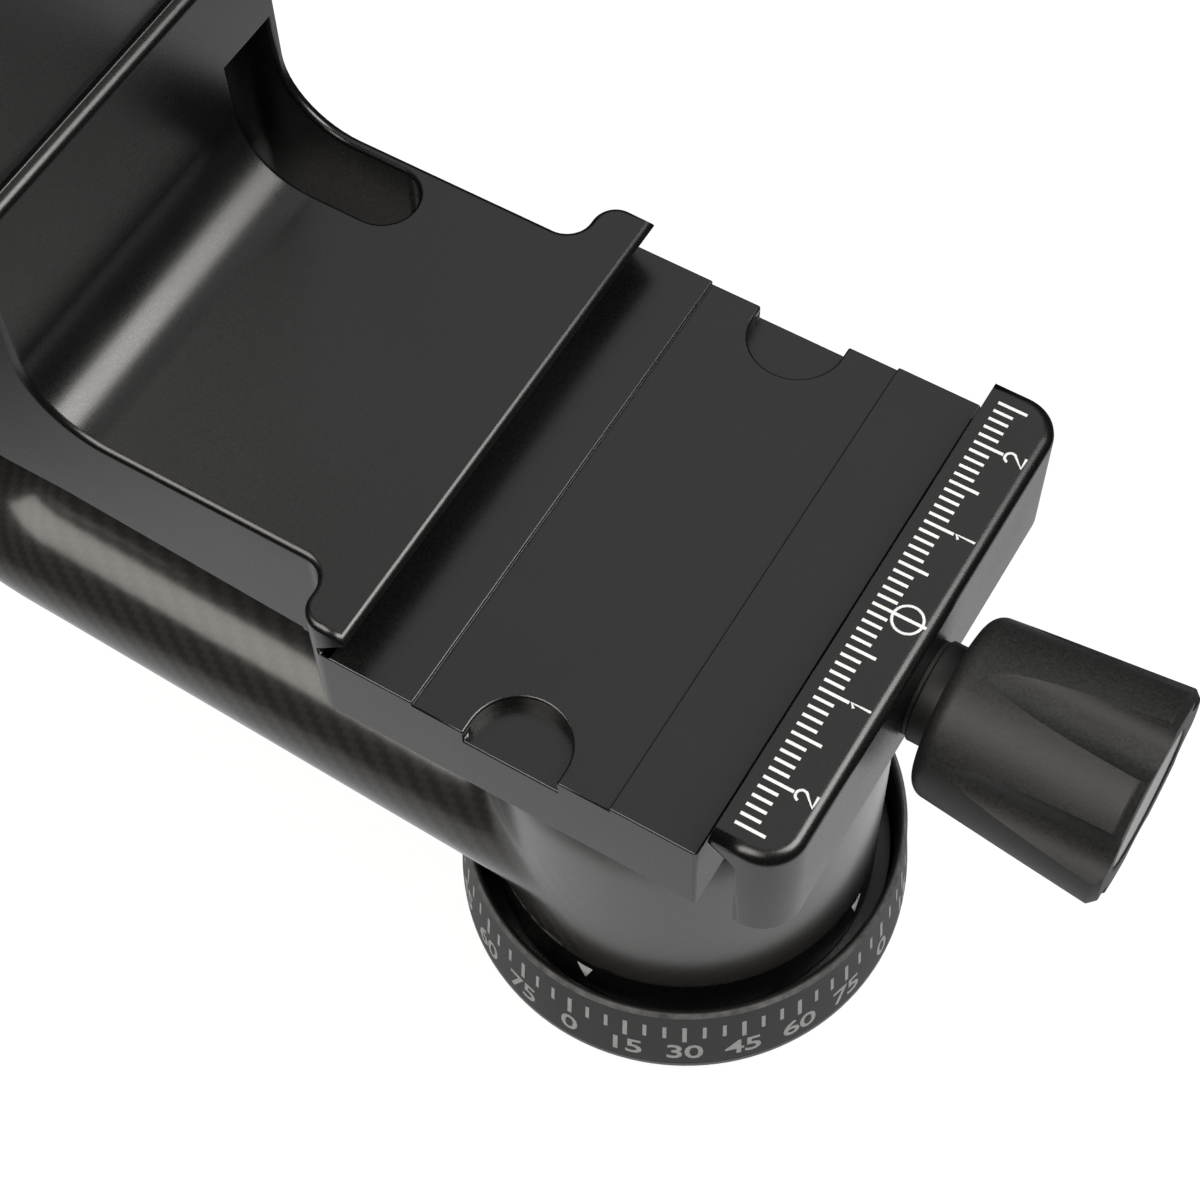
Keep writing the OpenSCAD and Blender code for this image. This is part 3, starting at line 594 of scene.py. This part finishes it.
# millimetre scale printed on the jaw, with a line through the ring of its zero
scalePrint = {"start": 1.3, "long": 3.0, "short": 2.0, "line": 0.32, "half": 25, "longEvery": 5, "thick": 0.02,
              "numbered": (-20, -10, 10, 20), "tens": 10, "digitMid": 4.15, "digitHeight": 1.9, "stroke": 0.3,
              "zeroMid": 3.55, "zeroR": 1.45, "zeroPast": 0.4, "zeroSteps": 40}
digitStrokes = {
    "1": [(-0.16, 0.8), (0.06, 1.0), (0.06, 0.0)],
    "2": arcPoints((0.0, 0.71), 0.29, 170, -30, 10) + [(-0.31, 0.0), (0.33, 0.0)],
}


# a thin line of print along a path of points, flattened on the face that carries it
def strokeMesh(points, width, thick, closed=False):
    curve = bpy.data.curves.new("stroke", "CURVE")
    curve.dimensions = "3D"
    curve.bevel_depth = width / 2 * mm
    curve.bevel_resolution = 1
    curve.use_fill_caps = True
    spline = curve.splines.new("POLY")
    spline.points.add(len(points) - 1)
    for spot, point in zip(spline.points, points):
        spot.co = (point[0] * mm, point[1] * mm, 0.0, 1.0)
    spline.use_cyclic_u = closed
    bm = curveMesh(curve)
    for vert in bm.verts:
        vert.co.z *= 2 * thick / width
    return bm


def jawScale():
    s = scalePrint
    bm = bmesh.new()
    startX = jawLow.x + s["start"]
    for tick in range(-s["half"], s["half"] + 1):
        length = s["short"] if tick % s["longEvery"] else s["long"]
        if tick == 0:
            length = s["zeroMid"] + s["zeroR"] + s["zeroPast"]
        addBar(bm, (startX, tick - s["line"] / 2, topZ - s["thick"]),
               (startX + length, tick + s["line"] / 2, topZ + s["thick"]))
    upright = Matrix.Rotation(math.pi / 2, 4, "Z")
    for tick in s["numbered"]:
        digit = digitStrokes[str(abs(tick) // s["tens"])]
        points = [(x * s["digitHeight"], (y - 0.5) * s["digitHeight"]) for x, y in digit]
        strokes = strokeMesh(points, s["stroke"], s["thick"])
        middle = Vector((startX + s["digitMid"], tick, topZ)) * mm
        bmesh.ops.transform(strokes, matrix=Matrix.Translation(middle) @ upright, verts=strokes.verts)
        joinMesh(bm, strokes)
    zero = arcPoints((startX + s["zeroMid"], 0.0), s["zeroR"], 0, 360, s["zeroSteps"])[:-1]
    ring = strokeMesh(zero, s["stroke"], s["thick"], closed=True)
    bmesh.ops.translate(ring, verts=ring.verts, vec=(0, 0, topZ * mm))
    joinMesh(bm, ring)
    placePiece(bm, "jaw_scale_print", "jaw", "white_print")


jawScale()
print("jaw scale printed")

# degree marks round the dial, numbered by fifteens in each quadrant
dialPrint = {"lowR": 25.8, "lowZ": 5.0, "topR": 24.9, "topZ": 15.8, "tickTop": 13.4, "long": 3.4, "short": 2.6,
             "longWide": 0.5, "shortWide": 0.42, "every": 5, "label": 15, "quadrant": 90, "digitMid": 7.6,
             "digitHeight": 3.3, "capShare": 0.73, "curveSteps": 3, "bolder": 0.05, "spacing": 0.94, "thick": 0.03,
             "turn": -90.0, "weld": 0.0005}
# outline of the painted highlight ring on the dial ring's top edge
rimHighlightOutline = {"outline": [(24.92, 15.70), (24.98, 15.76), (24.56, 16.22), (24.50, 16.16)], "steps": 180}
pointers = {"wide": 1.9, "high": 3.0, "low": 12.7, "r": 21.8, "thick": 0.03, "tip": 0.06, "count": 4}


def dialRadius(z):
    d = dialPrint
    return d["lowR"] + (d["topR"] - d["lowR"]) * (z - d["lowZ"]) / (d["topZ"] - d["lowZ"])


# bends flat print, drawn as (across, up, out), round the pan axis at an angle
def wrapPrint(bm, angle, radius):
    for vert in bm.verts:
        across, up, out = vert.co
        r = radius(up / mm) * mm + out
        turn = math.radians(angle) + across / r
        vert.co = (r * math.cos(turn), r * math.sin(turn), up)


def numeralMesh(body):
    d = dialPrint
    text = bpy.data.curves.new("numeral", "FONT")
    text.body = body
    text.size = d["digitHeight"] / d["capShare"] * mm
    text.align_x = "CENTER"
    text.resolution_u = d["curveSteps"]
    text.extrude = d["thick"] * mm
    text.offset = d["bolder"] * mm
    text.space_character = d["spacing"]
    number = curveMesh(text)
    bmesh.ops.translate(number, verts=number.verts, vec=(0, (d["digitMid"] - d["digitHeight"] / 2) * mm, 0))
    return number


def dialMarks():
    d = dialPrint
    marks = bmesh.new()
    for angle in range(0, 360, d["every"]):
        numbered = angle % d["label"] == 0
        length = d["long"] if numbered else d["short"]
        wide = d["longWide"] if numbered else d["shortWide"]
        tick = bmesh.new()
        addBar(tick, (-wide / 2, d["tickTop"] - length, -d["thick"]), (wide / 2, d["tickTop"], d["thick"]))
        for flat in [tick] + ([numeralMesh(str(angle % d["quadrant"]))] if numbered else []):
            wrapPrint(flat, d["turn"] + angle, dialRadius)
            joinMesh(marks, flat)
    bmesh.ops.remove_doubles(marks, verts=marks.verts, dist=d["weld"] * mm)
    placePiece(marks, "dial_print", "base", "dial_print")


# painted highlight: a paler ring laid along the top edge of the dial ring, standing in for the light its chamfer
# catches
def paintedRimHighlight():
    bm = turnedBody(rimHighlightOutline["outline"], rimHighlightOutline["steps"])
    bmesh.ops.recalc_face_normals(bm, faces=bm.faces)
    placePiece(bm, "dial_rim_painted_highlight", "base", "dial_edge")


def postPointers():
    p = pointers
    bm = bmesh.new()
    for i in range(p["count"]):
        pointer = bmesh.new()
        addBar(pointer, (-p["wide"] / 2, p["low"], -p["thick"]), (p["wide"] / 2, p["low"] + p["high"], p["thick"]))
        for vert in pointer.verts:
            if vert.co.y < (p["low"] + p["high"] / 2) * mm:
                vert.co.x *= p["tip"]
        wrapPrint(pointer, i * 360 / p["count"], lambda z: p["r"])
        joinMesh(bm, pointer)
    placePiece(bm, "post_pointers", "arm", "white_print")


dialMarks()
paintedRimHighlight()
postPointers()
print("dial and pointers printed")

# floor, light and camera
# the glow and side values paint the floor's reflection in glossy faces, brighter on the lamps' side and dark beyond
# darkR
stageLook = {"floorR": 3.0, "floorSteps": 96, "under": 0.0002, "floorColour": 0.82, "whiteShare": 0.8, "white": 1.13,
             "whiteFrom": 0.2, "whiteFull": 0.7, "brightR": 0.085, "darkR": 0.16, "dimGlow": 0.03, "nearGlow": 0.62,
             "farGlow": 0.68, "nearSide": -0.02, "farSide": 0.06, "lampWay": (0.82, 0.57, 0.0), "fillLevel": 0.15,
             "backdrop": 1.0, "room": 0.01, "ceiling": 0.56, "ceilingToward": (-0.30, 0.50, 0.81),
             "ceilingFrom": 0.84, "ceilingFull": 0.98}


def raysSeen(tree):
    path = tree.nodes.new("ShaderNodeLightPath").outputs
    return maths(tree, "MAXIMUM", path["Is Camera Ray"], path["Is Transmission Ray"]), path["Is Glossy Ray"]


def whiteLight(tree, kind, strength):
    return addNode(tree, kind, {"Color": grey(1.0), "Strength": strength}).outputs[0]


# pale paint with the object's shadow, white farther out, and clear from below; glossy faces see a painted reflection
# of the lit floor instead, a glow that is bright close by, a little brighter on the lamps' side and dark farther out
def paleFloor():
    s = stageLook
    bm = bmesh.new()
    bmesh.ops.create_circle(bm, cap_ends=True, radius=s["floorR"], segments=s["floorSteps"],
                            matrix=Matrix.Translation((0, 0, -s["under"])))
    mesh = meshFrom(bm, "floor")
    floor = addObject("floor", mesh)
    material = bpy.data.materials.new("pale_floor")
    material.use_nodes = True
    tree = material.node_tree
    tree.nodes.remove(tree.nodes["Principled BSDF"])
    place = tree.nodes.new("ShaderNodeTexCoord").outputs["Object"]
    away = addNode(tree, "ShaderNodeVectorMath", {0: place}, operation="LENGTH").outputs["Value"]
    # painted reflection: the floor glows for glossy rays as if lit, bright near the object, dim farther out, a
    # little brighter toward the lamps
    closeBy = mapped(tree, away, s["brightR"], s["darkR"], 1.0, s["dimGlow"], "SMOOTHSTEP")
    lampSide = mapped(tree, dotProduct(tree, place, s["lampWay"]), s["nearSide"], s["farSide"], s["nearGlow"],
                      s["farGlow"], "SMOOTHSTEP")
    paint = addNode(tree, "ShaderNodeBsdfDiffuse", {"Color": grey(s["floorColour"])}).outputs[0]
    white = whiteLight(tree, "ShaderNodeEmission", s["white"])
    paintedGlow = whiteLight(tree, "ShaderNodeEmission", maths(tree, "MULTIPLY", closeBy, lampSide))
    share = mapped(tree, away, s["whiteFrom"], s["whiteFull"], s["whiteShare"])
    direct, glossy = raysSeen(tree)
    forCamera = mixedShader(tree, direct, paint, mixedShader(tree, share, paint, white))
    forGloss = mixedShader(tree, glossy, forCamera, paintedGlow)
    below = tree.nodes.new("ShaderNodeNewGeometry").outputs["Backfacing"]
    clear = tree.nodes.new("ShaderNodeBsdfTransparent").outputs[0]
    tree.links.new(mixedShader(tree, below, forGloss, clear), tree.nodes["Material Output"].inputs["Surface"])
    mesh.materials.append(material)


# glossy faces see a dark room with one pale patch of ceiling
def studioWorld():
    s = stageLook
    world = bpy.data.worlds.new("studio")
    bpy.context.scene.world = world
    world.use_nodes = True
    tree = world.node_tree
    fill = tree.nodes["Background"]
    fill.inputs["Color"].default_value = grey(1.0)
    fill.inputs["Strength"].default_value = s["fillLevel"]
    place = tree.nodes.new("ShaderNodeTexCoord").outputs["Generated"]
    facing = dotProduct(tree, place, Vector(s["ceilingToward"]).normalized())
    ceiling = mapped(tree, facing, s["ceilingFrom"], s["ceilingFull"], s["room"], s["ceiling"], "SMOOTHSTEP")
    room = whiteLight(tree, "ShaderNodeBackground", ceiling)
    white = whiteLight(tree, "ShaderNodeBackground", s["backdrop"])
    direct, glossy = raysSeen(tree)
    mixed = mixedShader(tree, direct, mixedShader(tree, glossy, fill.outputs[0], room), white)
    tree.links.new(mixed, tree.nodes["World Output"].inputs["Surface"])


softboxes = {
    "right_far": {"toward": (0.56, 0.20, 0.80), "along": (0, 1, 0), "size": (0.6, 0.6), "power": 8.4,
                  "tint": (1.0, 0.98, 0.95)},
    "left_near": {"toward": (-0.28, -0.575, 0.75), "along": (0.5, 0.09, 0.2), "size": (0.86, 0.62), "power": 8.0,
                  "tint": (1.0, 0.96, 0.90)},
}
softboxAim = {"spot": (-0.02, 0, 0.06), "distance": 1.0}


def hangSoftbox(name, box):
    lamp = bpy.data.lights.new(name, "AREA")
    lamp.shape = "RECTANGLE"
    lamp.size, lamp.size_y = box["size"]
    lamp.energy = box["power"]
    lamp.color = box["tint"]
    holder = addObject(name, lamp)
    toward = Vector(box["toward"]).normalized()
    holder.location = toward * softboxAim["distance"] + Vector(softboxAim["spot"])
    across = toward.cross(Vector(box["along"])).normalized()
    holder.rotation_euler = Matrix((across.cross(toward), across, toward)).transposed().to_euler()


cameraView = {"location": (61.04, -109.66, 280.43), "turn": (29.991, 1.177, 30.993), "lens": 77.75, "sensor": 36.0,
              "clipStart": 10.0}


def photoCamera():
    camera = bpy.data.cameras.new("camera")
    camera.sensor_width = cameraView["sensor"]
    camera.lens = cameraView["lens"]
    camera.clip_start = cameraView["clipStart"] * mm
    holder = addObject("camera", camera)
    holder.location = Vector(cameraView["location"]) * mm
    holder.rotation_euler = Euler([math.radians(a) for a in cameraView["turn"]])
    bpy.context.scene.camera = holder


paleFloor()
studioWorld()
for name, box in softboxes.items():
    hangSoftbox(name, box)
photoCamera()
bpy.context.scene.view_settings.view_transform = "Standard"
print("stage, light and camera set")
